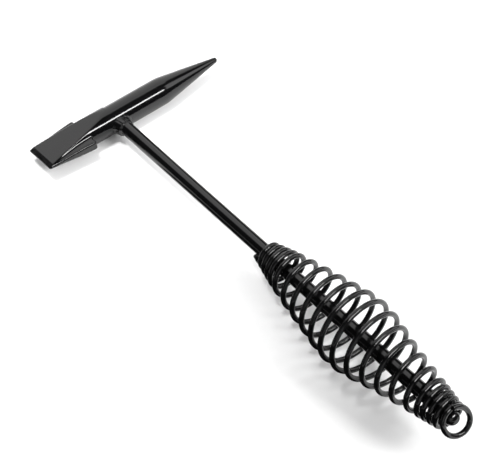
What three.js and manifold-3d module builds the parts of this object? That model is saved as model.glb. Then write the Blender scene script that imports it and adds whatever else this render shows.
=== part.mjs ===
// Chipping hammer for knocking slag off welds: one forged head with a point and a chisel,
// a round steel rod welded into it, and a barrel-shaped coil spring on the rod as the grip.
//
// Units are millimetres. The hammer lies on its side. +X runs along the handle away from the
// head, +Y runs along the head towards the point, and +Z is up. While the pieces are made, the
// head axis is the Y axis and the handle axis is the X axis. The finished group is then moved
// so that the middle of its underside is the origin.

import * as THREE from "three";
import { mergeVertices } from "three/addons/utils/BufferGeometryUtils.js";
import Module from "manifold-3d";

// ---------------------------------------------------------------- driving dimensions

const GAP = 0.3; // clearance left between pieces that touch

const HEAD = {
  radius: 8.1, // round middle of the forging
  pointLength: 73.2, // handle axis to the end of the point
  coneStart: 32.9, // handle axis to where the point starts to taper
  shoulderArc: 30, // radius of the soft turn from the round middle into the cone
  tipRadius: 1.7, // blunt end of the point
  chiselLength: 50.6, // handle axis to the cutting edge
  socketDepth: 5, // blind hole for the rod, measured from the crown
};

const CHISEL = {
  twist: THREE.MathUtils.degToRad(4.5), // edge turned out of the handle's plane
  facetStart: 7.6, // station where the flats leave the round middle
  bevelLength: 2.9, // ground cutting bevel
  bevelRise: 1.55, // half thickness where the bevel ends
  edgeHalf: 0.4, // half thickness of the cutting edge
  edgeHalfWidth: 10.3, // half width at the cutting edge
  edgeCorner: 1.5, // rounded corners of the cutting edge
  finStart: 20.3, // shoulder of the side fins
  finHalfWidth: 13.0, // half width at that shoulder
  finHalfHeight: 2.6, // half thickness of the side fins
  finCorner: 1.2, // rounded corners of the shoulder
  swellStart: 2.6, // the forging is a little wider from here to the fins
  swellRadius: 8.4,
  swellShift: -0.65,
  swellEase: [[0.5, 0.3], [1.6, 0]], // the swelling's rim: [drop in radius, distance from its start]
  swellRun: 1.2, // length of that rim
};

// Room that cutting tools keep beyond the forging on every side
const CLEAR = 8;
const TINY = 0.05; // keeps two round faces from lying in one another

const ROD = { radius: 4.0, end: 276.3, chamfer: 0.6 };

const GRIP = {
  wire: 1.3, // wire radius
  start: 136.2, // station of the first wire end
  turns: 21.82,
  startAngle: THREE.MathUtils.degToRad(161),
  frontPitch: 3.9, // advance per turn of the close coils at the rod
  openPitch: [9.25, 8.3], // advance per turn, where the coils open and where they close again
  buttPitch: 3.45, // advance per turn of the close coils at the butt
  opens: [4.1, 1.45], // turn where the coils start to open, turns it takes
  closes: [15.8, 1.5], // turn where the coils start to close, turns it takes
  // [distance along the grip, centre-line radius]
  barrel: [[0, 5.65], [18.7, 10.6], [46, 16.0], [71.9, 19.5], [97.8, 14.2], [120, 10.0], [135.5, 7.0]],
};

// The last coil swings out like an opened ring, and its cut end laps over the coil before it.
const RING = {
  hinge: THREE.MathUtils.degToRad(108), // angle where it leaves the coil before it
  pitch: 1.6,
  swing: 3.0, // half of how far its free side stands out
  flare: 2.6, // growth of the radius at the cut end
  flareTurns: 0.27,
};

// Weld collar round the rod, saddled on the head. Each profile point is [radius, station].
const HEAD_WELD = {
  offset: 0.6, // the collar sags to one side
  side: THREE.MathUtils.degToRad(215),
  profile: [[8.0, 5], [7.4, 8.2], [5.9, 9.3], [5.35, 10.6], [5.15, 12.7], [4.65, 13.2]],
};

// Tacks between the rod and the wire: half sizes along the rod, outwards and around it.
const FRONT_TACK = { centre: [135.6, -4.9, -1.2], halfSizes: [2.6, 1.9, 2.6] };
const BUTT_TACK = { centre: [270.6, 3.5, 3.5], halfSizes: [2.5, 1.9, 2.6] };

// Facets around each round shape
const ROUND = 64;
const WIRE_SIDES = 8;
const STEPS_PER_TURN = 20;

// ---------------------------------------------------------------- solids

const manifoldLibrary = await Module();
manifoldLibrary.setup();

// A closed three.js geometry becomes a solid that can be cut and joined.
function toSolid(geometry) {
  const bare = geometry.clone();
  bare.deleteAttribute("normal");
  bare.deleteAttribute("uv");
  const merged = mergeVertices(bare, 1e-4);
  return new manifoldLibrary.Manifold(new manifoldLibrary.Mesh({
    numProp: 3,
    vertProperties: new Float32Array(merged.attributes.position.array),
    triVerts: new Uint32Array(merged.index.array),
  }));
}

function toGeometry(solid) {
  const mesh = solid.getMesh();
  const geometry = new THREE.BufferGeometry();
  geometry.setAttribute("position", new THREE.BufferAttribute(mesh.vertProperties, 3));
  geometry.setIndex(new THREE.BufferAttribute(mesh.triVerts, 1));
  return geometry;
}

// Profile points are [radius, station]; the axis is Y.
function turnedOnY(points, segments = ROUND) {
  return new THREE.LatheGeometry(points.map(([r, s]) => new THREE.Vector2(r, s)), segments);
}

// Profile points are [radius, station]; the axis is X.
function turnedOnX(points, segments = ROUND) {
  return turnedOnY(points, segments).rotateZ(-Math.PI / 2);
}

function rodSolid(radius, from, to) {
  return toSolid(turnedOnX([[0, from], [radius, from], [radius, to], [0, to]]));
}

function smoothStep(t) {
  const clamped = THREE.MathUtils.clamp(t, 0, 1);
  return clamped * clamped * (3 - 2 * clamped);
}

// Points of an arc, as [radius, station] pairs around a centre.
function arcPoints(centre, radius, fromAngle, toAngle, count) {
  return Array.from({ length: count + 1 }, (_, i) => {
    const angle = THREE.MathUtils.lerp(fromAngle, toAngle, i / count);
    return [centre[0] + radius * Math.cos(angle), centre[1] + radius * Math.sin(angle)];
  });
}

// ---------------------------------------------------------------- head

// Half angle of the cone that is tangent to the tip ball.
function coneAngle() {
  const run = HEAD.pointLength - HEAD.tipRadius - HEAD.coneStart;
  return Math.atan((HEAD.radius - HEAD.tipRadius) / run);
}

function roundBarAndPoint() {
  const angle = coneAngle();
  const soft = HEAD.shoulderArc * Math.tan(angle / 2);
  const shoulder = arcPoints(
    [HEAD.radius - HEAD.shoulderArc, HEAD.coneStart - soft], HEAD.shoulderArc, 0, angle, 4);
  const tip = arcPoints([0, HEAD.pointLength - HEAD.tipRadius], HEAD.tipRadius, angle, Math.PI / 2, 6);
  tip[tip.length - 1][0] = 0;
  return toSolid(turnedOnY([[0, -HEAD.chiselLength], [HEAD.radius, -HEAD.chiselLength], ...shoulder, ...tip]));
}

// The bar is a little wider and off centre where the chisel was forged.
function forgedSwelling() {
  const { swellRadius: r, swellStart, swellShift, swellEase, swellRun } = CHISEL;
  const rim = swellEase.map(([drop, back]) => [r - drop, -swellStart - back]);
  const profile = [[0, -HEAD.chiselLength], [r, -HEAD.chiselLength], [r, -swellStart - swellRun],
    ...rim, [0, -swellStart]];
  const geometry = turnedOnY(profile);
  geometry.scale(1, 1, (HEAD.radius - TINY) / r);
  geometry.translate(swellShift, 0, 0);
  return toSolid(geometry);
}

// Plan outline of the side fins: wide at the shoulder, narrower at the rounded cutting edge.
function finPlan() {
  const { edgeHalfWidth: we, finHalfWidth: wf, finStart, edgeCorner: re, finCorner: rf } = CHISEL;
  const edge = HEAD.chiselLength;
  const root = HEAD.radius / 2;
  const splay = 2 * TINY;
  const plan = new THREE.Shape();
  plan.moveTo(-we + re, -edge);
  plan.lineTo(we - re, -edge);
  plan.quadraticCurveTo(we, -edge, we + splay, -edge + re);
  plan.lineTo(wf, -finStart - rf);
  plan.quadraticCurveTo(wf, -finStart, wf - rf, -finStart);
  plan.lineTo(root, -finStart);
  plan.lineTo(-root, -finStart);
  plan.lineTo(-wf + rf, -finStart);
  plan.quadraticCurveTo(-wf, -finStart, -wf, -finStart - rf);
  plan.lineTo(-we - splay, -edge + re);
  plan.quadraticCurveTo(-we, -edge, -we + re, -edge);
  return plan;
}

function sideFins() {
  const { finHalfHeight } = CHISEL;
  const geometry = new THREE.ExtrudeGeometry(finPlan(), {
    depth: 2 * finHalfHeight, bevelEnabled: false, curveSegments: 6 });
  return toSolid(geometry.translate(0, 0, -finHalfHeight));
}

// Everything that the two chisel flats and the cutting bevels leave standing.
function wedgeEnvelope() {
  const { bevelLength, bevelRise, edgeHalf, facetStart } = CHISEL;
  const edge = -HEAD.chiselLength;
  const bevel = edge + bevelLength;
  const slope = (HEAD.radius - bevelRise) / (-facetStart - bevel);
  const clear = HEAD.radius + CLEAR;
  const clearStation = bevel + (clear - bevelRise) / slope;
  const upper = [[edge, edgeHalf], [bevel, bevelRise], [clearStation, clear], [HEAD.pointLength + CLEAR, clear]];
  const lower = upper.map(([y, z]) => [y, -z]).reverse();
  const outline = new THREE.Shape([...upper, ...lower].map(([y, z]) => new THREE.Vector2(y, z)));
  const width = 2 * (CHISEL.finHalfWidth + CLEAR);
  const geometry = new THREE.ExtrudeGeometry(outline, { depth: width, bevelEnabled: false });
  geometry.translate(0, 0, -width / 2);
  const sideways = new THREE.Matrix4().makeBasis(
    new THREE.Vector3(0, 1, 0), new THREE.Vector3(0, 0, 1), new THREE.Vector3(1, 0, 0));
  return toSolid(geometry.applyMatrix4(sideways));
}

function turnedByTwist(solid) {
  return toSolid(toGeometry(solid).rotateY(-CHISEL.twist));
}

function hammerHead() {
  const blank = roundBarAndPoint()
    .add(turnedByTwist(forgedSwelling()))
    .add(turnedByTwist(sideFins()));
  const forged = blank.intersect(turnedByTwist(wedgeEnvelope()));
  const socket = rodSolid(ROD.radius + GAP, HEAD.radius - HEAD.socketDepth, 2 * HEAD.radius);
  return forged.subtract(socket);
}

// ---------------------------------------------------------------- rod

// Round bar end: a quarter arc from the rod's side to a point on its axis.
function domedEnd(radius, end) {
  const dome = arcPoints([0, end - radius], radius, 0, Math.PI / 2, 8);
  dome[dome.length - 1][0] = 0;
  return dome;
}

// The rod stands on the bottom of the socket and ends in a melted dome.
function handleRod() {
  const { radius, end, chamfer } = ROD;
  const from = HEAD.radius - HEAD.socketDepth + GAP;
  return toSolid(turnedOnX([[0, from], [radius - chamfer, from], [radius, from + chamfer], ...domedEnd(radius, end)]));
}

// ---------------------------------------------------------------- spring grip

// Smooth radius through the barrel's stations: cubic pieces with matching slopes.
function barrelRadius(station) {
  const knots = GRIP.barrel;
  let i = 0;
  while (i < knots.length - 2 && station > knots[i + 1][0]) i += 1;
  const slopeAt = (k) => {
    const a = knots[Math.max(k - 1, 0)];
    const b = knots[Math.min(k + 1, knots.length - 1)];
    return (b[1] - a[1]) / (b[0] - a[0]);
  };
  const [s0, r0] = knots[i];
  const [s1, r1] = knots[i + 1];
  const span = s1 - s0;
  const t = THREE.MathUtils.clamp((station - s0) / span, 0, 1);
  const cube = t * t * t;
  const square = t * t;
  return (2 * cube - 3 * square + 1) * r0 + (cube - 2 * square + t) * span * slopeAt(i)
    + (3 * square - 2 * cube) * r1 + (cube - square) * span * slopeAt(i + 1);
}

// Turn at which the last coil leaves the one before it: the last passage of the hinge angle
// that leaves more than half a turn of wire.
function ringStart() {
  const share = THREE.MathUtils.euclideanModulo((RING.hinge - GRIP.startAngle) / (2 * Math.PI), 1);
  return Math.floor(GRIP.turns - 0.5 - share) + share;
}

// Advance per turn at a given turn: closed, open, closed, and then the ring.
function pitchAt(turn) {
  const { opens, closes, openPitch, frontPitch, buttPitch } = GRIP;
  if (turn > ringStart()) return RING.pitch;
  const along = THREE.MathUtils.clamp((turn - opens[0]) / (closes[0] - opens[0]), 0, 1);
  const open = THREE.MathUtils.lerp(openPitch[0], openPitch[1], along);
  const opened = smoothStep((turn - opens[0]) / opens[1]);
  const closed = smoothStep((turn - closes[0]) / closes[1]);
  return THREE.MathUtils.lerp(THREE.MathUtils.lerp(frontPitch, open, opened), buttPitch, closed);
}

// Centre line of the wire: one point every part of a turn.
function wirePath() {
  const count = Math.round(GRIP.turns * STEPS_PER_TURN);
  const step = GRIP.turns / count;
  const advance = [0];
  for (let i = 1; i <= count; i += 1) {
    advance.push(advance[i - 1] + pitchAt((i - 0.5) * step) * step);
  }
  return advance.map((x, i) => {
    const turn = i * step;
    const angle = GRIP.startAngle + 2 * Math.PI * turn;
    const onRing = turn > ringStart() ? 1 : 0;
    const flare = Math.max(0, 1 - (GRIP.turns - turn) / RING.flareTurns);
    const radius = barrelRadius(x) + RING.flare * flare * flare;
    return new THREE.Vector3(
      GRIP.start + x + onRing * RING.swing * (1 - Math.cos(angle - RING.hinge)),
      radius * Math.cos(angle), radius * Math.sin(angle));
  });
}

// A round wire swept along a coiled path around X, with flat closed ends.
function sweptWire(path, radius) {
  const positions = [];
  const index = [];
  path.forEach((point, i) => {
    const ahead = path[Math.min(i + 1, path.length - 1)];
    const behind = path[Math.max(i - 1, 0)];
    const tangent = ahead.clone().sub(behind).normalize();
    const outward = new THREE.Vector3(0, point.y, point.z);
    outward.addScaledVector(tangent, -outward.dot(tangent)).normalize();
    const across = tangent.clone().cross(outward);
    for (let k = 0; k < WIRE_SIDES; k += 1) {
      const angle = 2 * Math.PI * (k + 0.5) / WIRE_SIDES;
      const rim = point.clone()
        .addScaledVector(outward, radius * Math.cos(angle))
        .addScaledVector(across, radius * Math.sin(angle));
      positions.push(rim.x, rim.y, rim.z);
    }
  });
  for (let i = 0; i < path.length - 1; i += 1) {
    for (let k = 0; k < WIRE_SIDES; k += 1) {
      const a = i * WIRE_SIDES + k;
      const b = i * WIRE_SIDES + (k + 1) % WIRE_SIDES;
      index.push(a, b, b + WIRE_SIDES, a, b + WIRE_SIDES, a + WIRE_SIDES);
    }
  }
  const last = (path.length - 1) * WIRE_SIDES;
  for (let k = 1; k < WIRE_SIDES - 1; k += 1) {
    index.push(0, k + 1, k);
    index.push(last, last + k, last + k + 1);
  }
  const geometry = new THREE.BufferGeometry();
  geometry.setAttribute("position", new THREE.Float32BufferAttribute(positions, 3));
  geometry.setIndex(index);
  return geometry;
}

// ---------------------------------------------------------------- welds

// Collar of weld metal, cut clear of the head's round middle and of the rod.
function headWeld() {
  const { profile, offset, side } = HEAD_WELD;
  const first = profile[0][1];
  const last = profile[profile.length - 1][1];
  const collar = toSolid(turnedOnX([[0, first], ...profile, [0, last]]).translate(
    0, offset * Math.cos(side), offset * Math.sin(side)));
  const reach = HEAD.radius + CLEAR;
  const headRound = toSolid(turnedOnY(
    [[0, -reach], [HEAD.radius + GAP, -reach], [HEAD.radius + GAP, reach], [0, reach]]));
  return collar.subtract(headRound).subtract(rodSolid(ROD.radius + GAP, 0, 2 * last));
}

// A tack: a lump of weld metal on the rod, cut clear of the rod and of the wire it holds.
function tack({ centre, halfSizes }, wireSpan) {
  const lump = new THREE.SphereGeometry(1, 24, 16).scale(...halfSizes);
  lump.rotateX(Math.atan2(centre[2], centre[1])).translate(...centre);
  const clearWire = toSolid(sweptWire(wireSpan, GRIP.wire + GAP));
  const clearRod = toSolid(turnedOnX([[0, 0], [ROD.radius + GAP, 0], ...domedEnd(ROD.radius + GAP, ROD.end + GAP)]));
  return largestPiece(toSolid(lump).subtract(clearRod).subtract(clearWire));
}

function largestPiece(solid) {
  const pieces = solid.decompose();
  return pieces.reduce((best, piece) => (piece.volume() > best.volume() ? piece : best));
}

// ---------------------------------------------------------------- assembly

const BLACK_ENAMEL = { color: 0x141416, roughness: 0.22, metalness: 0.0 };

function namedMesh(name, geometry) {
  const flat = geometry.index ? geometry.toNonIndexed() : geometry;
  flat.computeVertexNormals();
  const mesh = new THREE.Mesh(flat, new THREE.MeshStandardMaterial(BLACK_ENAMEL));
  mesh.name = name;
  return mesh;
}

const wire = wirePath();
const firstTurn = wire.slice(0, STEPS_PER_TURN);
const lastTurns = wire.slice(-3 * STEPS_PER_TURN);

const pieces = [
  namedMesh("hammer_head", toGeometry(hammerHead())),
  namedMesh("handle_rod", toGeometry(handleRod())),
  namedMesh("spring_grip", sweptWire(wire, GRIP.wire)),
  namedMesh("head_weld", toGeometry(headWeld())),
  namedMesh("front_grip_weld", toGeometry(tack(FRONT_TACK, firstTurn))),
  namedMesh("butt_grip_weld", toGeometry(tack(BUTT_TACK, lastTurns))),
];

const hammer = new THREE.Group();
hammer.add(...pieces);

// The origin is the middle of the underside.
const box = new THREE.Box3().setFromObject(hammer);
const middle = box.getCenter(new THREE.Vector3());
hammer.position.set(-middle.x, -middle.y, -box.min.z);

export default hammer;
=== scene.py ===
# %% [markdown]
# # Chipping hammer in gloss black enamel
#
# A welder knocks slag off a fresh bead with this tool. A forged head carries a point and a
# chisel, a round bar is welded into it, and a barrel-shaped coil spring on the bar is the
# grip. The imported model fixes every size. This file gives each piece its finished surface,
# its enamel and the light of a small studio. Run the cells from top to bottom.

import math

import bpy
import numpy as np
from mathutils import Matrix, Vector


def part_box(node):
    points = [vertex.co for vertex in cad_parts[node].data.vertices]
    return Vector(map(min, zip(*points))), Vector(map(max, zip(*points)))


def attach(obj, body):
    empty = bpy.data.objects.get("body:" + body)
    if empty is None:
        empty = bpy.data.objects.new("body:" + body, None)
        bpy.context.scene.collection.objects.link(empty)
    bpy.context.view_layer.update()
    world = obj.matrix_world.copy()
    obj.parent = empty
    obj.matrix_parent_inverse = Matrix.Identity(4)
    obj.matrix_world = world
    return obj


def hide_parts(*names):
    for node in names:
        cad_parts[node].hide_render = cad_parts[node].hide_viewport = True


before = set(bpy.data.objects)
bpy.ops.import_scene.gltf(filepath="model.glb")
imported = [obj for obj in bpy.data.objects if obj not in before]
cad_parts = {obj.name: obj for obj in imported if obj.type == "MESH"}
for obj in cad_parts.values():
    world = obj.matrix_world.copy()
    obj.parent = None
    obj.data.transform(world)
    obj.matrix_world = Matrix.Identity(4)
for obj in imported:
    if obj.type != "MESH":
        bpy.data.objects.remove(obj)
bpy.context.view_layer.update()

# %% [markdown]
# ## The two axes that everything hangs on
#
# The head's axis runs along Y and the bar's axis runs along X, and they cross in the middle
# of the head. All sizes below are in millimetres from that crossing, as a maker would mark
# them out, so one function carries them into the model's metres. The crossing could be
# typed in, but reading it from the bar's own box keeps it right when the model is repacked.

# %% The crossing of the axes
MM = 0.001
ROD_END = 276.3  # crossing to the end of the bar

rod_low, rod_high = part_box("handle_rod")
crossing = np.array([
    rod_high.x - ROD_END * MM,
    (rod_low.y + rod_high.y) / 2,
    (rod_low.z + rod_high.z) / 2,
])
print("axes cross at", crossing.round(5))


def to_model(x, y, z):
    """Points in millimetres from the crossing, as an array of points in the model's metres."""
    return np.stack(np.broadcast_arrays(x, y, z), axis=-1) * MM + crossing


# %% [markdown]
# ## Three small curve tools
#
# A forging has no knife-sharp inner corners, so its shape is blended from simple ones. A
# boolean would leave hard seams that need bevels. Rounded versions of "the larger of two"
# and "the smaller of two" give the fillets in the same sum, over a distance that is a real
# radius in millimetres.

# %% Blending tools
def smooth_step(t):
    """Eases from 0 to 1: three t squared less two t cubed, with t kept between 0 and 1."""
    t = np.clip(t, 0, 1)
    return t * t * (3 - 2 * t)


def smooth_max(a, b, width):
    """The larger of a and b, rounded where they differ by less than width."""
    share = np.clip(0.5 + 0.5 * (a - b) / width, 0, 1)
    return b + (a - b) * share + width * share * (1 - share)


def smooth_min(a, b, width):
    """The smaller of a and b, rounded where they differ by less than width."""
    return -smooth_max(-a, -b, width)


# %% [markdown]
# ## From a grid of points to a closed skin
#
# Every piece here is a skin over a grid: rows follow the piece's length and columns go
# round it. Spin and Screw could make some of them, but a grid also takes ripples, flats and
# dents. The first and last rows are closed with a fan, and the sign of the enclosed volume
# tells whether the faces point outwards.

# %% Skin maker
def skin_over(name, grid, crease=math.radians(50)):
    """Closed mesh over a rows by columns by 3 grid. Columns join up, ends close to a point.

    The volume is a sixth of the sum of corner triple products; if it comes out negative,
    all faces are turned over."""
    rows, columns = grid.shape[:2]
    points = np.concatenate([grid.reshape(-1, 3), grid[[0, -1]].mean(axis=1)])
    row, column = np.meshgrid(np.arange(rows - 1), np.arange(columns), indexing="ij")
    here = row * columns + column
    beside = row * columns + (column + 1) % columns
    quads = np.stack([here, beside, beside + columns, here + columns], -1).reshape(-1, 4)
    first = np.arange(columns)
    second = (first + 1) % columns
    last_row = (rows - 1) * columns
    near_pole = np.full(columns, rows * columns)
    near = np.stack([near_pole, second, first], -1)
    far = np.stack([near_pole + 1, last_row + first, last_row + second], -1)
    fans = np.concatenate([near, far])
    triangles = np.concatenate([quads[:, [0, 1, 2]], quads[:, [0, 2, 3]], fans])
    corner = (points - points.mean(axis=0))[triangles]
    volume = np.einsum("ij,ij->i", corner[:, 0], np.cross(corner[:, 1], corner[:, 2])).sum() / 6
    if volume < 0:
        quads = quads[:, ::-1]
        fans = fans[:, ::-1]
    mesh = bpy.data.meshes.new(name)
    mesh.from_pydata(points.tolist(), [], quads.tolist() + fans.tolist())
    mesh.shade_smooth()
    mesh.set_sharp_from_angle(angle=crease)
    piece = bpy.data.objects.new(name, mesh)
    bpy.context.scene.collection.objects.link(piece)
    print(f"{name}: {len(triangles)} triangles, {abs(volume) * 1e9:.0f} cubic mm")
    return piece


def finish_piece(piece, material, node):
    """Gives a piece its enamel and lets it stand for one CAD node on the only body."""
    piece.data.materials.append(material)
    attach(piece, "root")
    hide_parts(node)
    return piece


# %% [markdown]
# ## How the hammer lies on the table
#
# The hammer is put down on its side. It rocks until two things touch: the belly of the
# spring and the underside of the head. A flat floor under the lowest point would leave the
# head in the air. So the floor is tilted instead, by looking for the two contacts again
# and again until the slope stops changing.

# %% Floor through the two contacts
def node_points(node):
    """All vertices of a CAD node, as an array."""
    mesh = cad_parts[node].data
    points = np.empty(3 * len(mesh.vertices))
    mesh.vertices.foreach_get("co", points)
    return points.reshape(-1, 3)


def lowest_over(points, slope):
    """The point that a floor of this slope along X meets first when it is raised."""
    return points[np.argmin(points[:, 2] - slope * points[:, 0])]


SETTLING_ROUNDS = 6  # the slope stops changing after the second

head_points = node_points("hammer_head")
spring_points = node_points("spring_grip")
floor_slope = 0.0
for _ in range(SETTLING_ROUNDS):
    head_contact = lowest_over(head_points, floor_slope)
    spring_contact = lowest_over(spring_points, floor_slope)
    rise = head_contact[2] - spring_contact[2]
    floor_slope = rise / (head_contact[0] - spring_contact[0])
floor_height = spring_contact[2] - floor_slope * spring_contact[0]
floor_tilt = math.degrees(math.atan(floor_slope))
print(f"floor tilts {floor_tilt:.2f} degrees, contact at x = {spring_contact[0]:.3f}")

FLOOR_REACH = 6.0  # metres each way, far past anything that the enamel mirrors


def sheet_on_table(name, x_range, y_range, lift=0.0):
    """Flat sheet parallel to the table: its height is the table's, plus the lift."""
    x = np.array([x_range[0], x_range[1], x_range[1], x_range[0]])
    y = np.array([y_range[0], y_range[0], y_range[1], y_range[1]])
    corners = np.column_stack([x, y, floor_height + floor_slope * x + lift])
    mesh = bpy.data.meshes.new(name)
    mesh.from_pydata(corners.tolist(), [], [(0, 1, 2, 3)])
    sheet = bpy.data.objects.new(name, mesh)
    bpy.context.scene.collection.objects.link(sheet)
    return sheet


studio_floor = sheet_on_table(
    "studio_floor", (-FLOOR_REACH, FLOOR_REACH), (-FLOOR_REACH, FLOOR_REACH))

# %% [markdown]
# ## Colours and nodes
#
# Colours are chosen as the hex values that a paint chart gives. Shaders sum light, so they
# need linear numbers, and one function converts them. A second function adds a shader node
# with its settings and its links in one line, which keeps each finish readable as a recipe.

# %% Colour and node helpers
def linear(hex_colour):
    """sRGB hex to linear RGBA: below 0.04045 divide by 12.92, above it raise to 2.4."""
    channels = [int(hex_colour[i:i + 2], 16) / 255 for i in (1, 3, 5)]
    bent = [c / 12.92 if c <= 0.04045 else ((c + 0.055) / 1.055) ** 2.4 for c in channels]
    return (*bent, 1.0)


def add_node(tree, kind, inputs=None, **settings):
    """Adds one node. Settings are its own properties; inputs are values or sockets."""
    node = tree.nodes.new(kind)
    for name, value in settings.items():
        setattr(node, name, value)
    for name, value in (inputs or {}).items():
        if isinstance(value, bpy.types.NodeSocket):
            tree.links.new(value, node.inputs[name])
        else:
            node.inputs[name].default_value = value
    return node


def empty_tree(name):
    """A new material with an empty node tree."""
    material = bpy.data.materials.new(name)
    material.use_nodes = True
    material.node_tree.nodes.clear()
    return material, material.node_tree


# %% [markdown]
# ## Floor paint
#
# The table is a sheet of matt white laminate. It only has to be pale and to catch the
# shadow, so it is a rough dielectric with a very faint mottle.

# %% White laminate
LAMINATE_GRAIN = 4.0  # mm across one patch of the mottle

laminate, tree = empty_tree("matt_white_laminate")
coordinates = add_node(tree, "ShaderNodeTexCoord")
mottle = add_node(tree, "ShaderNodeTexNoise", {
    "Vector": coordinates.outputs["Object"], "Scale": 1 / (LAMINATE_GRAIN * MM), "Detail": 2.0})
tint = add_node(tree, "ShaderNodeMix", {
    "Factor": mottle.outputs["Fac"], "A": linear("#f1f1f1"), "B": linear("#f4f4f4")},
    data_type="RGBA")
surface = add_node(tree, "ShaderNodeBsdfPrincipled", {
    "Base Color": tint.outputs["Result"], "Roughness": 0.7, "Specular IOR Level": 0.2})
add_node(tree, "ShaderNodeOutputMaterial", {"Surface": surface.outputs["BSDF"]})
studio_floor.data.materials.append(laminate)
print("floor finish:", laminate.name)

# %% [markdown]
# ## Camera
#
# The hammer is seen from above the butt, with the head at the far upper left. The lens is
# long, which keeps the head and the butt at nearly the same scale. The camera's axes are
# written as directions, because a slight roll is part of the view.

# %% Camera
CAMERA_OFFSET = (0.5331, -0.2802, 0.5523)  # metres from the crossing of the axes
CAMERA_BACK = Vector((0.5543, -0.3794, 0.7409)).normalized()
CAMERA_RIGHT = Vector((0.6228, 0.7795, -0.0668)).normalized()
LENS = 103.0  # mm, on a 36 mm wide sensor

camera_up = CAMERA_BACK.cross(CAMERA_RIGHT).normalized()
camera_data = bpy.data.cameras.new("studio_camera")
camera_data.lens = LENS
camera_data.sensor_width = 36.0
camera = bpy.data.objects.new("studio_camera", camera_data)
bpy.context.scene.collection.objects.link(camera)
axes = Matrix((CAMERA_RIGHT, camera_up, CAMERA_BACK)).transposed().to_4x4()
camera.matrix_world = Matrix.Translation(Vector(crossing) + Vector(CAMERA_OFFSET)) @ axes
bpy.context.scene.camera = camera
print("camera is", round(Vector(CAMERA_OFFSET).length, 3), "m from the head")

# %% [markdown]
# ## Light
#
# Black enamel shows almost nothing of its own colour: what the eye sees is the studio in
# it. So the lamps are placed as mirror images. A large softbox behind the head lays broad
# grey on the top faces. A narrow strip light beyond the butt draws the thin white lines. A
# window on the point's side and a panel near the viewer give the far sides some shape.
#
# A lamp is easier to judge by its brightness in a mirror than by its watts, so the helper
# takes that: power is four times area times brightness. These four lamps light only
# reflections, so that each can be moved without changing the shadow.

# %% Lamps that are seen in the enamel
def area_lamp(name, place, size, brightness):
    """Rectangle of light facing the head.

    Its first side is the Y axis less the part of it that points at the head."""
    width, height = size
    data = bpy.data.lights.new(name, "AREA")
    data.shape = "RECTANGLE"
    data.size = width
    data.size_y = height
    data.energy = 4 * width * height * brightness
    lamp = bpy.data.objects.new(name, data)
    bpy.context.scene.collection.objects.link(lamp)
    back = (Vector(place) - Vector(crossing)).normalized()
    side = Vector((0, 1, 0))
    side = (side - back * side.dot(back)).normalized()
    turned = Matrix((side, back.cross(side), back)).transposed().to_4x4()
    lamp.matrix_world = Matrix.Translation(place) @ turned
    lamp.visible_camera = False
    print(f"{name}: {data.energy:.0f} W")
    return lamp


# name: place in metres, size in metres, brightness in a mirror
MIRRORED_LAMPS = {
    "softbox_behind_the_head": ((-1.00, 0.32, 0.90), (1.40, 2.10), 1.08),
    "strip_beyond_the_butt": ((0.60, 0.16, 0.69), (0.62, 0.13), 24.0),
    "window_on_the_point_side": ((0.35, 1.10, 0.62), (1.10, 0.70), 1.7),
    "panel_on_the_viewer_side": ((0.75, -0.65, 0.45), (0.80, 0.60), 0.6),
}

for lamp_name, (place, size, brightness) in MIRRORED_LAMPS.items():
    area_lamp(lamp_name, place, size, brightness).visible_diffuse = False

# %% [markdown]
# The shadow has its own lamp: a soft key from the point's side, low enough to throw the
# coils' shadows across the table. Its light gets weaker towards the head, which stands
# farthest from it, so a soft spot above the head evens the table out. Neither of the two
# shows in the enamel.

# %% Lamps that light the table
key = area_lamp("key_from_the_point_side", (0.67, 0.49, 0.58), (0.44, 0.44), 15.0)
key.visible_glossy = False

FILL_PLACE = Vector((-0.26, -0.10, 0.80))
FILL_AIM = Vector((-0.10, -0.02, 0.0))
FILL_POWER = 30.0  # W
FILL_CONE = math.radians(24)
FILL_SOFTNESS = 0.12  # metres, radius of the lamp

fill_data = bpy.data.lights.new("fill_over_the_head", "SPOT")
fill_data.energy = FILL_POWER
fill_data.spot_size = FILL_CONE
fill_data.spot_blend = 1.0
fill_data.shadow_soft_size = FILL_SOFTNESS
fill = bpy.data.objects.new("fill_over_the_head", fill_data)
bpy.context.scene.collection.objects.link(fill)
fill.rotation_mode = "QUATERNION"
fill.rotation_quaternion = (FILL_AIM - FILL_PLACE).to_track_quat("-Z", "Y")
fill.location = FILL_PLACE
fill.visible_glossy = False

# %% [markdown]
# In a studio, one side of a glossy bar is often darkened with black card. The card lies on
# the table in front of the bar, where only the enamel sees it: it is hidden from the lens
# and throws no shadow.

# %% Black card in front of the bar
CARD_X = (-0.098, 0.30)
CARD_Y = (-0.60, -0.022)
CARD_LIFT = 0.0004  # metres above the table

black_card = sheet_on_table("black_card", CARD_X, CARD_Y, CARD_LIFT)
black_card.visible_camera = False
black_card.visible_diffuse = False
black_card.visible_shadow = False

black_paper, tree = empty_tree("black_paper")
surface = add_node(tree, "ShaderNodeBsdfDiffuse", {"Color": linear("#1a1a1a")})
add_node(tree, "ShaderNodeOutputMaterial", {"Surface": surface.outputs["BSDF"]})
black_card.data.materials.append(black_paper)
print("card finish:", black_paper.name)

# %% [markdown]
# The room is dark in the enamel but pale to the eye and on the table. The dark part is
# what leaves black bands between the lamps, and the pale part is a white backdrop.

# %% Dark room, pale backdrop
MIRRORED_ROOM = 0.02  # brightness of the room in a reflection
PALE_ROOM = 0.75  # brightness to the lens, and on the table

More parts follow.
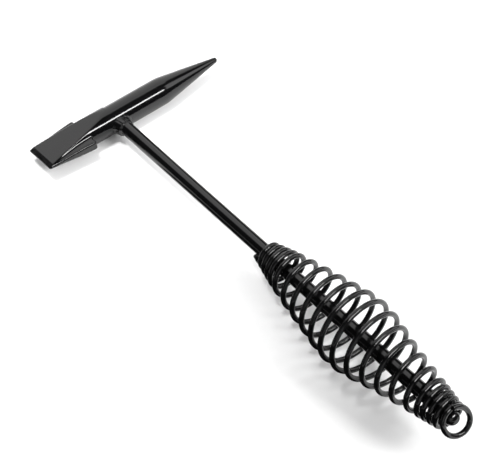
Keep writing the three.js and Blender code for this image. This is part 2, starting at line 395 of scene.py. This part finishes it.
room = bpy.data.worlds.new("studio_room")
room.use_nodes = True
room.node_tree.nodes.clear()
tree = room.node_tree
path = add_node(tree, "ShaderNodeLightPath")
seen = add_node(tree, "ShaderNodeMapRange", {
    "Value": path.outputs["Is Glossy Ray"], "To Min": PALE_ROOM, "To Max": MIRRORED_ROOM})
background = add_node(tree, "ShaderNodeBackground", {
    "Color": linear("#ffffff"), "Strength": seen.outputs["Result"]})
add_node(tree, "ShaderNodeOutputWorld", {"Surface": background.outputs["Background"]})
bpy.context.scene.world = room
bpy.context.scene.view_settings.view_transform = "Standard"
print("room brightness:", MIRRORED_ROOM, "in the enamel,", PALE_ROOM, "elsewhere")

# %% [markdown]
# ## Gloss black enamel
#
# The whole hammer is dipped in black enamel after welding. A dipped coat flows out nearly
# level and keeps a faint orange peel, about a millimetre from hill to hill, which makes
# the edges of reflections tremble. It pools a little, so its gloss changes slowly over
# the surface. A car-paint material with flakes would be wrong, and a plain black glossy
# shader has no peel. Each piece gets its own mix, because the metal underneath shows
# through the coat: scaly on the forging, smooth on drawn wire and bar, lumpy on the weld.

# %% Enamel recipe
PEEL_SIZE = 1.1  # mm from hill to hill of the orange peel
POOL_SIZE = 9.0  # mm across the patches where the coat is thicker


def gloss_black_enamel(name, gloss, peel_height, scale_size, scale_height):
    """Black enamel over one kind of metal.

    Peel is a noise of PEEL_SIZE, and the metal's own roughness is a second, coarser noise
    of scale_size under it; heights are in mm. Roughness moves between the two gloss
    values over patches of POOL_SIZE."""
    material, tree = empty_tree(name)
    place = add_node(tree, "ShaderNodeTexCoord").outputs["Object"]
    pools = add_node(tree, "ShaderNodeTexNoise", {
        "Vector": place, "Scale": 1 / (POOL_SIZE * MM), "Detail": 3.0, "Roughness": 0.55})
    peel = add_node(tree, "ShaderNodeTexNoise", {
        "Vector": place, "Scale": 1 / (PEEL_SIZE * MM), "Detail": 1.0, "Roughness": 0.4})
    metal = add_node(tree, "ShaderNodeTexNoise", {
        "Vector": place, "Scale": 1 / (scale_size * MM), "Detail": 2.0, "Roughness": 0.5})
    colour = add_node(tree, "ShaderNodeMix", {
        "Factor": pools.outputs["Fac"], "A": linear("#050505"), "B": linear("#0a0a0b")},
        data_type="RGBA")
    shine = add_node(tree, "ShaderNodeMapRange", {
        "Value": pools.outputs["Fac"], "From Min": 0.3, "From Max": 0.7,
        "To Min": gloss[0], "To Max": gloss[1]})
    under = add_node(tree, "ShaderNodeBump", {
        "Height": metal.outputs["Fac"], "Strength": 1.0, "Distance": scale_height * MM})
    over = add_node(tree, "ShaderNodeBump", {
        "Height": peel.outputs["Fac"], "Strength": 1.0, "Distance": peel_height * MM,
        "Normal": under.outputs["Normal"]})
    surface = add_node(tree, "ShaderNodeBsdfPrincipled", {
        "Base Color": colour.outputs["Result"], "Roughness": shine.outputs["Result"],
        "Normal": over.outputs["Normal"], "IOR": 1.5})
    add_node(tree, "ShaderNodeOutputMaterial", {"Surface": surface.outputs["BSDF"]})
    return material


enamel_on_forging = gloss_black_enamel(
    "black_enamel_on_forged_steel",
    gloss=(0.07, 0.14), peel_height=0.010, scale_size=3.0, scale_height=0.025)
enamel_on_bar = gloss_black_enamel(
    "black_enamel_on_drawn_bar",
    gloss=(0.08, 0.15), peel_height=0.008, scale_size=5.0, scale_height=0.010)
enamel_on_wire = gloss_black_enamel(
    "black_enamel_on_spring_wire",
    gloss=(0.09, 0.16), peel_height=0.006, scale_size=4.0, scale_height=0.008)
enamel_on_weld = gloss_black_enamel(
    "black_enamel_on_weld_bead",
    gloss=(0.08, 0.16), peel_height=0.012, scale_size=1.8, scale_height=0.045)
enamels = (enamel_on_forging, enamel_on_bar, enamel_on_wire, enamel_on_weld)
print("enamels:", [enamel.name for enamel in enamels])

# %% [markdown]
# ## The forged head
#
# The head starts as round bar. One end is turned to a blunt point. The other is upset in a
# die, which squeezes the bar flat and pushes metal out to the sides as two fins, and then
# the flats are ground to a wedge with a short cutting bevel. Modelling each cut would
# need booleans and hand bevels. Here the section at every station is one sum: bar, plus
# swelling, plus fins, cut by the wedge. A search along each ray finds the skin.

# %% Sizes of the head
HEAD_RADIUS = 8.1
POINT_LENGTH = 73.2  # crossing to the tip
CONE_START = 32.9
SHOULDER_ROUNDING = 0.5  # how much the soft turn into the cone takes off
TIP_RADIUS = 1.7
CHISEL_LENGTH = 50.6  # crossing to the cutting edge
TWIST = math.radians(4.5)  # the edge is turned out of the handle's plane
FACET_START = 7.6
BEVEL_LENGTH = 2.9
BEVEL_RISE = 1.55
EDGE_HALF_THICKNESS = 0.4
EDGE_HALF_WIDTH = 10.3
EDGE_CORNER = 1.5
FIN_START = 20.3
FIN_HALF_WIDTH = 13.0
FIN_HALF_HEIGHT = 2.6
FIN_FILLET = 1.5
FIN_SHARE = 0.56  # near the edge, the fins are this share of the height between the flats
SWELL_START = 2.6
SWELL_RUN = 1.2
SWELL_RADIUS = 8.4
SWELL_HALF_HEIGHT = 8.05
SWELL_SHIFT = -0.65
SWELL_DROP = 1.6  # how far the swelling falls to the round bar over its rim
SWELL_BLEND = 0.3  # roundings in mm, from here on
FIN_TAPER = 0.8
FIN_EDGE = 1.2
FIN_ROOT = 1.4
FACET_EDGE = 0.45
EDGE_SPREAD = 0.24  # share by which the forging widens from the fin shoulders to the edge

# %% The section of the head as one sum
cone_angle = math.atan((HEAD_RADIUS - TIP_RADIUS) / (POINT_LENGTH - TIP_RADIUS - CONE_START))
tip_centre = POINT_LENGTH - TIP_RADIUS


def bar_radius(station):
    """Radius of the bar and the point: the smaller of bar and cone, then the tip's ball."""
    cone = TIP_RADIUS / math.cos(cone_angle) + (tip_centre - station) * math.tan(cone_angle)
    body = smooth_min(np.full_like(station, HEAD_RADIUS), cone, SHOULDER_ROUNDING)
    into_ball = np.clip(station - tip_centre, -TIP_RADIUS, TIP_RADIUS)
    ball = np.sqrt(TIP_RADIUS ** 2 - into_ball ** 2)
    return np.where(station > tip_centre + TIP_RADIUS * math.sin(cone_angle), ball, body)


def wedge_half_height(station):
    """Half height between the flats: a short steep bevel, then the long slope."""
    from_edge = station + CHISEL_LENGTH
    slope = (HEAD_RADIUS - BEVEL_RISE) / (CHISEL_LENGTH - FACET_START - BEVEL_LENGTH)
    steep = (BEVEL_RISE - EDGE_HALF_THICKNESS) / BEVEL_LENGTH
    return np.minimum(EDGE_HALF_THICKNESS + steep * from_edge,
                      BEVEL_RISE + slope * (from_edge - BEVEL_LENGTH))


def head_field(x, z, station):
    """Below zero inside the head, above zero outside it, in mm.

    The smallest of bar, swelling and fins is the blank, and the larger of blank and wedge
    is the head. Each is a distance from the axis, or from a middle plane, less a size."""
    bar = np.hypot(x, z) - bar_radius(station)
    flat_x = x * math.cos(TWIST) + z * math.sin(TWIST)
    flat_z = z * math.cos(TWIST) - x * math.sin(TWIST)
    rim = smooth_step((station + SWELL_START) / SWELL_RUN + 1)
    spread = 1 + EDGE_SPREAD * np.clip(-(station + FIN_START) / (CHISEL_LENGTH - FIN_START), 0, 1)
    squash = SWELL_RADIUS / SWELL_HALF_HEIGHT
    swelling = np.hypot((flat_x - SWELL_SHIFT) / spread, flat_z * squash)
    swelling = swelling - SWELL_RADIUS + SWELL_DROP * rim
    swelling = np.maximum(swelling, station + SWELL_START)
    share = (station + CHISEL_LENGTH) / (CHISEL_LENGTH - FIN_START)
    fin_width = EDGE_HALF_WIDTH + (FIN_HALF_WIDTH - EDGE_HALF_WIDTH) * share
    past_corner = np.clip(EDGE_CORNER - (station + CHISEL_LENGTH), 0, EDGE_CORNER)
    fin_width = fin_width - EDGE_CORNER + np.sqrt(EDGE_CORNER ** 2 - past_corner ** 2)
    fin_sides = smooth_max(np.abs(flat_x) - fin_width, station + FIN_START, FIN_FILLET)
    between_flats = wedge_half_height(station)
    fin_height = smooth_min(FIN_HALF_HEIGHT, FIN_SHARE * between_flats, FIN_TAPER)
    fins = smooth_max(fin_sides, np.abs(flat_z) - fin_height, FIN_EDGE)
    blank = smooth_min(smooth_min(bar, swelling, SWELL_BLEND), fins, FIN_ROOT)
    return smooth_max(blank, np.abs(flat_z) - between_flats, FACET_EDGE)


# %% Skin of the head
HEAD_COLUMNS = 208
SEARCH_STEPS = 30
ROUND_FROM = 11  # mm between axis and flats at which rays stop crowding
CROWDING_LIMIT = 0.08


def head_stations():
    """Rows along the head: close together at the edge, the fin shoulders and the tip."""
    ball = tip_centre + TIP_RADIUS * np.sin(np.linspace(cone_angle, math.radians(88), 12))
    edge_end, fin_from, fin_to = 4.5 - CHISEL_LENGTH, -2.2 - FIN_START, 1.6 - FIN_START
    stretches = [  # from, to, mm between rows
        (-CHISEL_LENGTH, edge_end, 0.15),
        (edge_end, fin_from, 0.40),
        (fin_from, fin_to, 0.12),
        (fin_to, CONE_START - 4, 0.50),
        (CONE_START - 4, CONE_START + 4, 0.35),
        (CONE_START + 4, ball[0] - 0.3, 0.60),
    ]
    return np.concatenate([np.arange(*stretch) for stretch in stretches] + [ball])


def head_skin():
    """Grid of skin points: along each ray from the axis, halve the span that holds zero.

    Rays crowd towards the fins where the section is flat, by stretching their angles with
    the ratio of the section's height to its width."""
    station = head_stations()[:, None]
    turn = 2 * math.pi * np.arange(HEAD_COLUMNS)[None, :] / HEAD_COLUMNS
    flatness = np.clip(wedge_half_height(station) / ROUND_FROM, CROWDING_LIMIT, 1)
    angle = np.arctan2(flatness * np.sin(turn), np.cos(turn)) + TWIST
    cosine, sine = np.cos(angle), np.sin(angle)
    inside = np.zeros_like(angle)
    outside = np.full_like(angle, 2 * FIN_HALF_WIDTH)
    for _ in range(SEARCH_STEPS):
        middle = (inside + outside) / 2
        full = head_field(middle * cosine, middle * sine, station + 0 * angle) < 0
        inside = np.where(full, middle, inside)
        outside = np.where(full, outside, middle)
    return inside * cosine, station + 0 * angle, inside * sine


head_x, head_y, head_z = head_skin()
head = skin_over("forged_head", to_model(head_x, head_y, head_z))
finish_piece(head, enamel_on_forging, "hammer_head")

# %% [markdown]
# ## The bar
#
# The handle is drawn round bar, cut and stood in a shallow socket in the head. Its far end
# was melted to a dome when the grip was welded on. A cylinder primitive would have a flat
# end and a sharp rim, so a short profile is turned about the axis instead.

# %% Turned bar
ROD_RADIUS = 4.0
ROD_START = 3.4
ROD_CHAMFER = 0.6
ROUND_COLUMNS = 96


def turned_about_x(station, radius, columns=ROUND_COLUMNS):
    """A profile turned about the bar's axis: Y and Z are radius times cosine and sine."""
    angle = 2 * math.pi * np.arange(columns)[None, :] / columns
    station, radius = station[:, None], radius[:, None]
    return station + 0 * angle, radius * np.cos(angle), radius * np.sin(angle)


dome = np.linspace(0, math.radians(87), 16)
straight = np.linspace(ROD_START + ROD_CHAMFER, ROD_END - ROD_RADIUS - 1, 60)
rod_station = np.concatenate([
    [ROD_START], straight, ROD_END - ROD_RADIUS + ROD_RADIUS * np.sin(dome)])
rod_radius = np.concatenate([
    [ROD_RADIUS - ROD_CHAMFER], np.full_like(straight, ROD_RADIUS), ROD_RADIUS * np.cos(dome)])
rod = skin_over("handle_bar", to_model(*turned_about_x(rod_station, rod_radius)))
finish_piece(rod, enamel_on_bar, "handle_rod")

# %% [markdown]
# ## The spring grip
#
# The grip is one length of spring wire. It is wound close on the bar, opens out into a
# barrel that fills the hand, closes again and ends in a ring with a cut end. Blender's
# Screw modifier winds only one pitch and one radius. So the wire's centre line is summed
# turn by turn from the pitch, its distance from the axis comes from a smooth curve
# through a few stations, and a round section is carried along it.

# %% Sizes of the spring
WIRE_RADIUS = 1.3
GRIP_START = 136.2
GRIP_TURNS = 21.82
GRIP_START_ANGLE = math.radians(161)
FRONT_PITCH = 3.9  # mm of advance in each turn, wound close on the bar
OPEN_PITCH = (9.25, 8.3)
BUTT_PITCH = 3.45
OPENS = (4.1, 1.45)  # turn where the coils start to open, and turns that it takes
CLOSES = (15.8, 1.5)
BARREL_STATIONS = np.array([0, 18.7, 46, 71.9, 97.8, 120, 135.5])
BARREL_RADII = np.array([5.65, 10.6, 16.0, 19.5, 14.2, 10.0, 7.0])
RING_HINGE = math.radians(108)  # where the last coil leaves the one before it
RING_PITCH = 1.6
RING_SWING = 3.0
RING_FLARE = 2.6
RING_FLARE_TURNS = 0.27
PITCH_SUMS = 40000  # short steps in which the pitch is summed


# %% Centre line of the wire
def barrel_radius(station):
    """Smooth curve through the barrel's stations: cubics whose slopes match at each one."""
    index = np.clip(np.searchsorted(BARREL_STATIONS, station, side="left") - 1,
                    0, len(BARREL_STATIONS) - 2)
    before = np.maximum(np.arange(len(BARREL_STATIONS)) - 1, 0)
    after = np.minimum(np.arange(len(BARREL_STATIONS)) + 1, len(BARREL_STATIONS) - 1)
    slope = ((BARREL_RADII[after] - BARREL_RADII[before])
             / (BARREL_STATIONS[after] - BARREL_STATIONS[before]))
    span = BARREL_STATIONS[index + 1] - BARREL_STATIONS[index]
    t = np.clip((station - BARREL_STATIONS[index]) / span, 0, 1)
    return ((2 * t ** 3 - 3 * t ** 2 + 1) * BARREL_RADII[index]
            + (t ** 3 - 2 * t ** 2 + t) * span * slope[index]
            + (3 * t ** 2 - 2 * t ** 3) * BARREL_RADII[index + 1]
            + (t ** 3 - t ** 2) * span * slope[index + 1])


ring_share = ((RING_HINGE - GRIP_START_ANGLE) / (2 * math.pi)) % 1
ring_start = math.floor(GRIP_TURNS - 0.5 - ring_share) + ring_share


def pitch_at(turn):
    """Advance in one turn: close, open, close, and then the ring."""
    along = np.clip((turn - OPENS[0]) / (CLOSES[0] - OPENS[0]), 0, 1)
    open_pitch = OPEN_PITCH[0] + (OPEN_PITCH[1] - OPEN_PITCH[0]) * along
    pitch = FRONT_PITCH + (open_pitch - FRONT_PITCH) * smooth_step((turn - OPENS[0]) / OPENS[1])
    pitch = pitch + (BUTT_PITCH - pitch) * smooth_step((turn - CLOSES[0]) / CLOSES[1])
    return np.where(turn > ring_start, RING_PITCH, pitch)


def wire_line(turn):
    """Centre line: the station is the summed pitch, and the angle grows with the turns.

    The ring stands out by the swing times one minus the cosine from its hinge, and its
    cut end flares out with the square of the last part of the turn."""
    fine = np.linspace(0, GRIP_TURNS, PITCH_SUMS + 1)
    step = fine[1] - fine[0]
    summed = np.concatenate([[0], np.cumsum(pitch_at(fine[:-1] + step / 2)) * step])
    advance = np.interp(turn, fine, summed)
    angle = GRIP_START_ANGLE + 2 * math.pi * turn
    swing = RING_SWING * (1 - np.cos(angle - RING_HINGE)) * (turn > ring_start)
    flare = np.clip(1 - (GRIP_TURNS - turn) / RING_FLARE_TURNS, 0, 1)
    radius = barrel_radius(advance) + RING_FLARE * flare ** 2
    return np.stack([GRIP_START + advance + swing, radius * np.cos(angle),
                     radius * np.sin(angle)], axis=-1)


# %% Wire carried along its centre line
WIRE_COLUMNS = 20
ROWS_PER_TURN = 56
CUT_EASE = 0.3  # mm of rounding that the dip leaves on each cut end
CUT_ROWS = np.array([0, 0.06, 0.2, 0.45, 0.75])  # rows across the rounding, as shares of it
WIRE_COAT = 0.12  # mm of enamel over the bare wire


def round_section_along(line, radius, columns):
    """Carries a circle along a line: points are the line plus radius times the section's
    outward and sideways directions, each at right angles to the line."""
    tangent = np.gradient(line, axis=0)
    tangent /= np.linalg.norm(tangent, axis=1, keepdims=True)
    outward = line * [0, 1, 1]
    outward -= tangent * (outward * tangent).sum(axis=1, keepdims=True)
    outward /= np.linalg.norm(outward, axis=1, keepdims=True)
    sideways = np.cross(tangent, outward)
    angle = 2 * math.pi * np.arange(columns) / columns
    rim = (outward[:, None, :] * np.cos(angle)[None, :, None]
           + sideways[:, None, :] * np.sin(angle)[None, :, None])
    return line[:, None, :] + rim * radius[:, None, None]


ease_turns = CUT_EASE / (2 * math.pi * BARREL_RADII[-1])
ease = ease_turns * CUT_ROWS
turns = np.concatenate([
    ease, np.linspace(ease_turns, GRIP_TURNS - ease_turns, int(GRIP_TURNS * ROWS_PER_TURN)),
    GRIP_TURNS - ease[::-1]])
to_end = np.clip(np.minimum(turns, GRIP_TURNS - turns) / ease_turns, 0, 1)
wire_radius = WIRE_RADIUS + WIRE_COAT - CUT_EASE * (1 - np.sqrt(1 - (1 - to_end) ** 2))
wire_skin = round_section_along(wire_line(turns), wire_radius, WIRE_COLUMNS)
spring = skin_over("spring_grip_wire", to_model(*np.moveaxis(wire_skin, -1, 0)))
finish_piece(spring, enamel_on_wire, "spring_grip")

# %% [markdown]
# ## The weld at the head
#
# The bar is joined to the head by a bead laid round it. The bead's foot follows the round
# of the head like a saddle, and its ripples are the steps in which the pool froze. A
# torus would float above the saddle. So a profile is carried round the bar whose foot
# height is read from the head's cylinder, and the ripples are a sine that leans back
# along the direction of travel.

# %% Collar of weld metal
COLLAR_TOP = 13.0
COLLAR_RADII = (6.7, 5.9)  # foot of the bead, along the head and across it
COLLAR_SINK = 0.3  # the foot starts this far under the head's skin
FOOT_WANDER = (0.3, 0.15)  # long and short waves in the line of the foot
COLLAR_WAIST = 5.2
WAIST_STEP = 0.2  # second, smaller step above the waist
LIP_DEPTH = 1.1  # the last fall onto the bar
COLLAR_FALLS = ((0, 0.5), (0.45, 0.25), (0.8, 0.2))  # start and run, as shares of height
COLLAR_SAG = (0.7, math.radians(215))  # the bead is heavier on one side
RIPPLE_HEIGHT = 0.07
RIPPLE_COUNT = 19
RIPPLE_LEAN = 5
SLOW_LUMPS = ((0.18, 3, 0, 1.1), (0.10, 7, -6, 0))  # height, waves round, lean, phase
COLLAR_ROWS = 44
COLLAR_COLUMNS = 240
ROW_POWER = 1.25  # above 1, rows stand closer together at the foot


def collar_skin():
    """Bead from its foot on the head to its lip on the bar.

    Going up, the radius falls from foot to bar in rounded steps. Round the bar, it gains
    the ripple sine, which leans with height, and slow lumps, all of which fade out at
    both ends with the root of a sine."""
    up = np.linspace(0, 1, COLLAR_ROWS)[:, None]
    angle = 2 * math.pi * np.arange(COLLAR_COLUMNS)[None, :] / COLLAR_COLUMNS
    foot = COLLAR_RADII[0] - (COLLAR_RADII[0] - COLLAR_RADII[1]) * np.sin(angle) ** 2
    long_wave = FOOT_WANDER[0] * np.sin(2 * angle + 0.7) * np.sin(angle)
    foot = foot + long_wave + FOOT_WANDER[1] * np.sin(5 * angle)
    foot_station = np.sqrt(HEAD_RADIUS ** 2 - (foot * np.sin(angle)) ** 2) - COLLAR_SINK
    station = foot_station + (COLLAR_TOP - foot_station) * up ** ROW_POWER
    falls = [smooth_step((up - start) / run) for start, run in COLLAR_FALLS]
    to_waist, past_waist, to_bar = falls
    radius = COLLAR_WAIST + (foot - COLLAR_WAIST) * (1 - to_waist)
    radius = radius - WAIST_STEP * past_waist
    radius = radius - LIP_DEPTH * to_bar
    lumps = RIPPLE_HEIGHT * np.sin(RIPPLE_COUNT * angle + RIPPLE_LEAN * up)
    for height, waves, lean, phase in SLOW_LUMPS:
        lumps = lumps + height * np.sin(waves * angle + lean * up + phase)
    sag, side = COLLAR_SAG
    fade = np.sin(math.pi * np.clip(up, 0, 1)) ** 0.5
    radius = radius + (lumps + sag * np.cos(angle - side)) * fade
    return station, radius * np.cos(angle), radius * np.sin(angle)


collar = skin_over("head_weld_bead", to_model(*collar_skin()))
finish_piece(collar, enamel_on_weld, "head_weld")

# %% [markdown]
# ## The two tacks
#
# The wire is held by one short tack at each end. A tack is a drop of weld metal, about as
# wide as it is long, that froze with a few ripples. A ball from the menu would look turned
# on a lathe, so this one starts from an ellipsoid, and each direction is pushed in or out
# by a few slow sines.

# %% Drops of weld metal
FRONT_TACK = {"centre": (135.6, -4.9, -1.2), "half_sizes": (2.6, 1.9, 2.6)}
BUTT_TACK = {"centre": (270.6, 3.5, 3.5), "half_sizes": (2.5, 1.9, 2.6)}
TACK_FILL = 0.93  # share of the ellipsoid's half sizes that the drop fills on average
TACK_LUMPS = (0.05, 0.04, 0.03)  # threefold, ringed and fivefold lumps, as shares too
TACK_ROWS = 40
TACK_COLUMNS = 64
TACK_POLE = math.radians(2)  # the skin closes with a fan this far from each pole


def tack_skin(centre, half_sizes, phase):
    """Ellipsoid with lumps. Its three half sizes lie along the bar, outwards and round it.

    The reach in each direction is the fill plus small products of sines of the two
    angles, so it passes the ellipsoid by a tenth of a millimetre at the very most."""
    polar = np.linspace(TACK_POLE, math.pi - TACK_POLE, TACK_ROWS)[:, None]
    angle = 2 * math.pi * np.arange(TACK_COLUMNS)[None, :] / TACK_COLUMNS
    threefold, ringed, fivefold = TACK_LUMPS
    lumps = threefold * np.sin(3 * angle + phase) * np.sin(2 * polar)
    lumps = lumps + ringed * np.sin(9 * polar + phase)
    lumps = lumps + fivefold * np.cos(5 * angle - 2 * phase) * np.sin(polar) ** 2
    reach = TACK_FILL + lumps
    along = half_sizes[0] * reach * np.cos(polar) + 0 * angle
    outward = half_sizes[1] * reach * np.sin(polar) * np.cos(angle)
    around = half_sizes[2] * reach * np.sin(polar) * np.sin(angle)
    lean = math.atan2(centre[2], centre[1])
    y = centre[1] + outward * math.cos(lean) - around * math.sin(lean)
    z = centre[2] + outward * math.sin(lean) + around * math.cos(lean)
    return centre[0] + along, y, z


front_tack = skin_over("front_tack_bead", to_model(*tack_skin(**FRONT_TACK, phase=0.4)))
finish_piece(front_tack, enamel_on_weld, "front_grip_weld")
butt_tack = skin_over("butt_tack_bead", to_model(*tack_skin(**BUTT_TACK, phase=2.1)))
finish_piece(butt_tack, enamel_on_weld, "butt_grip_weld")
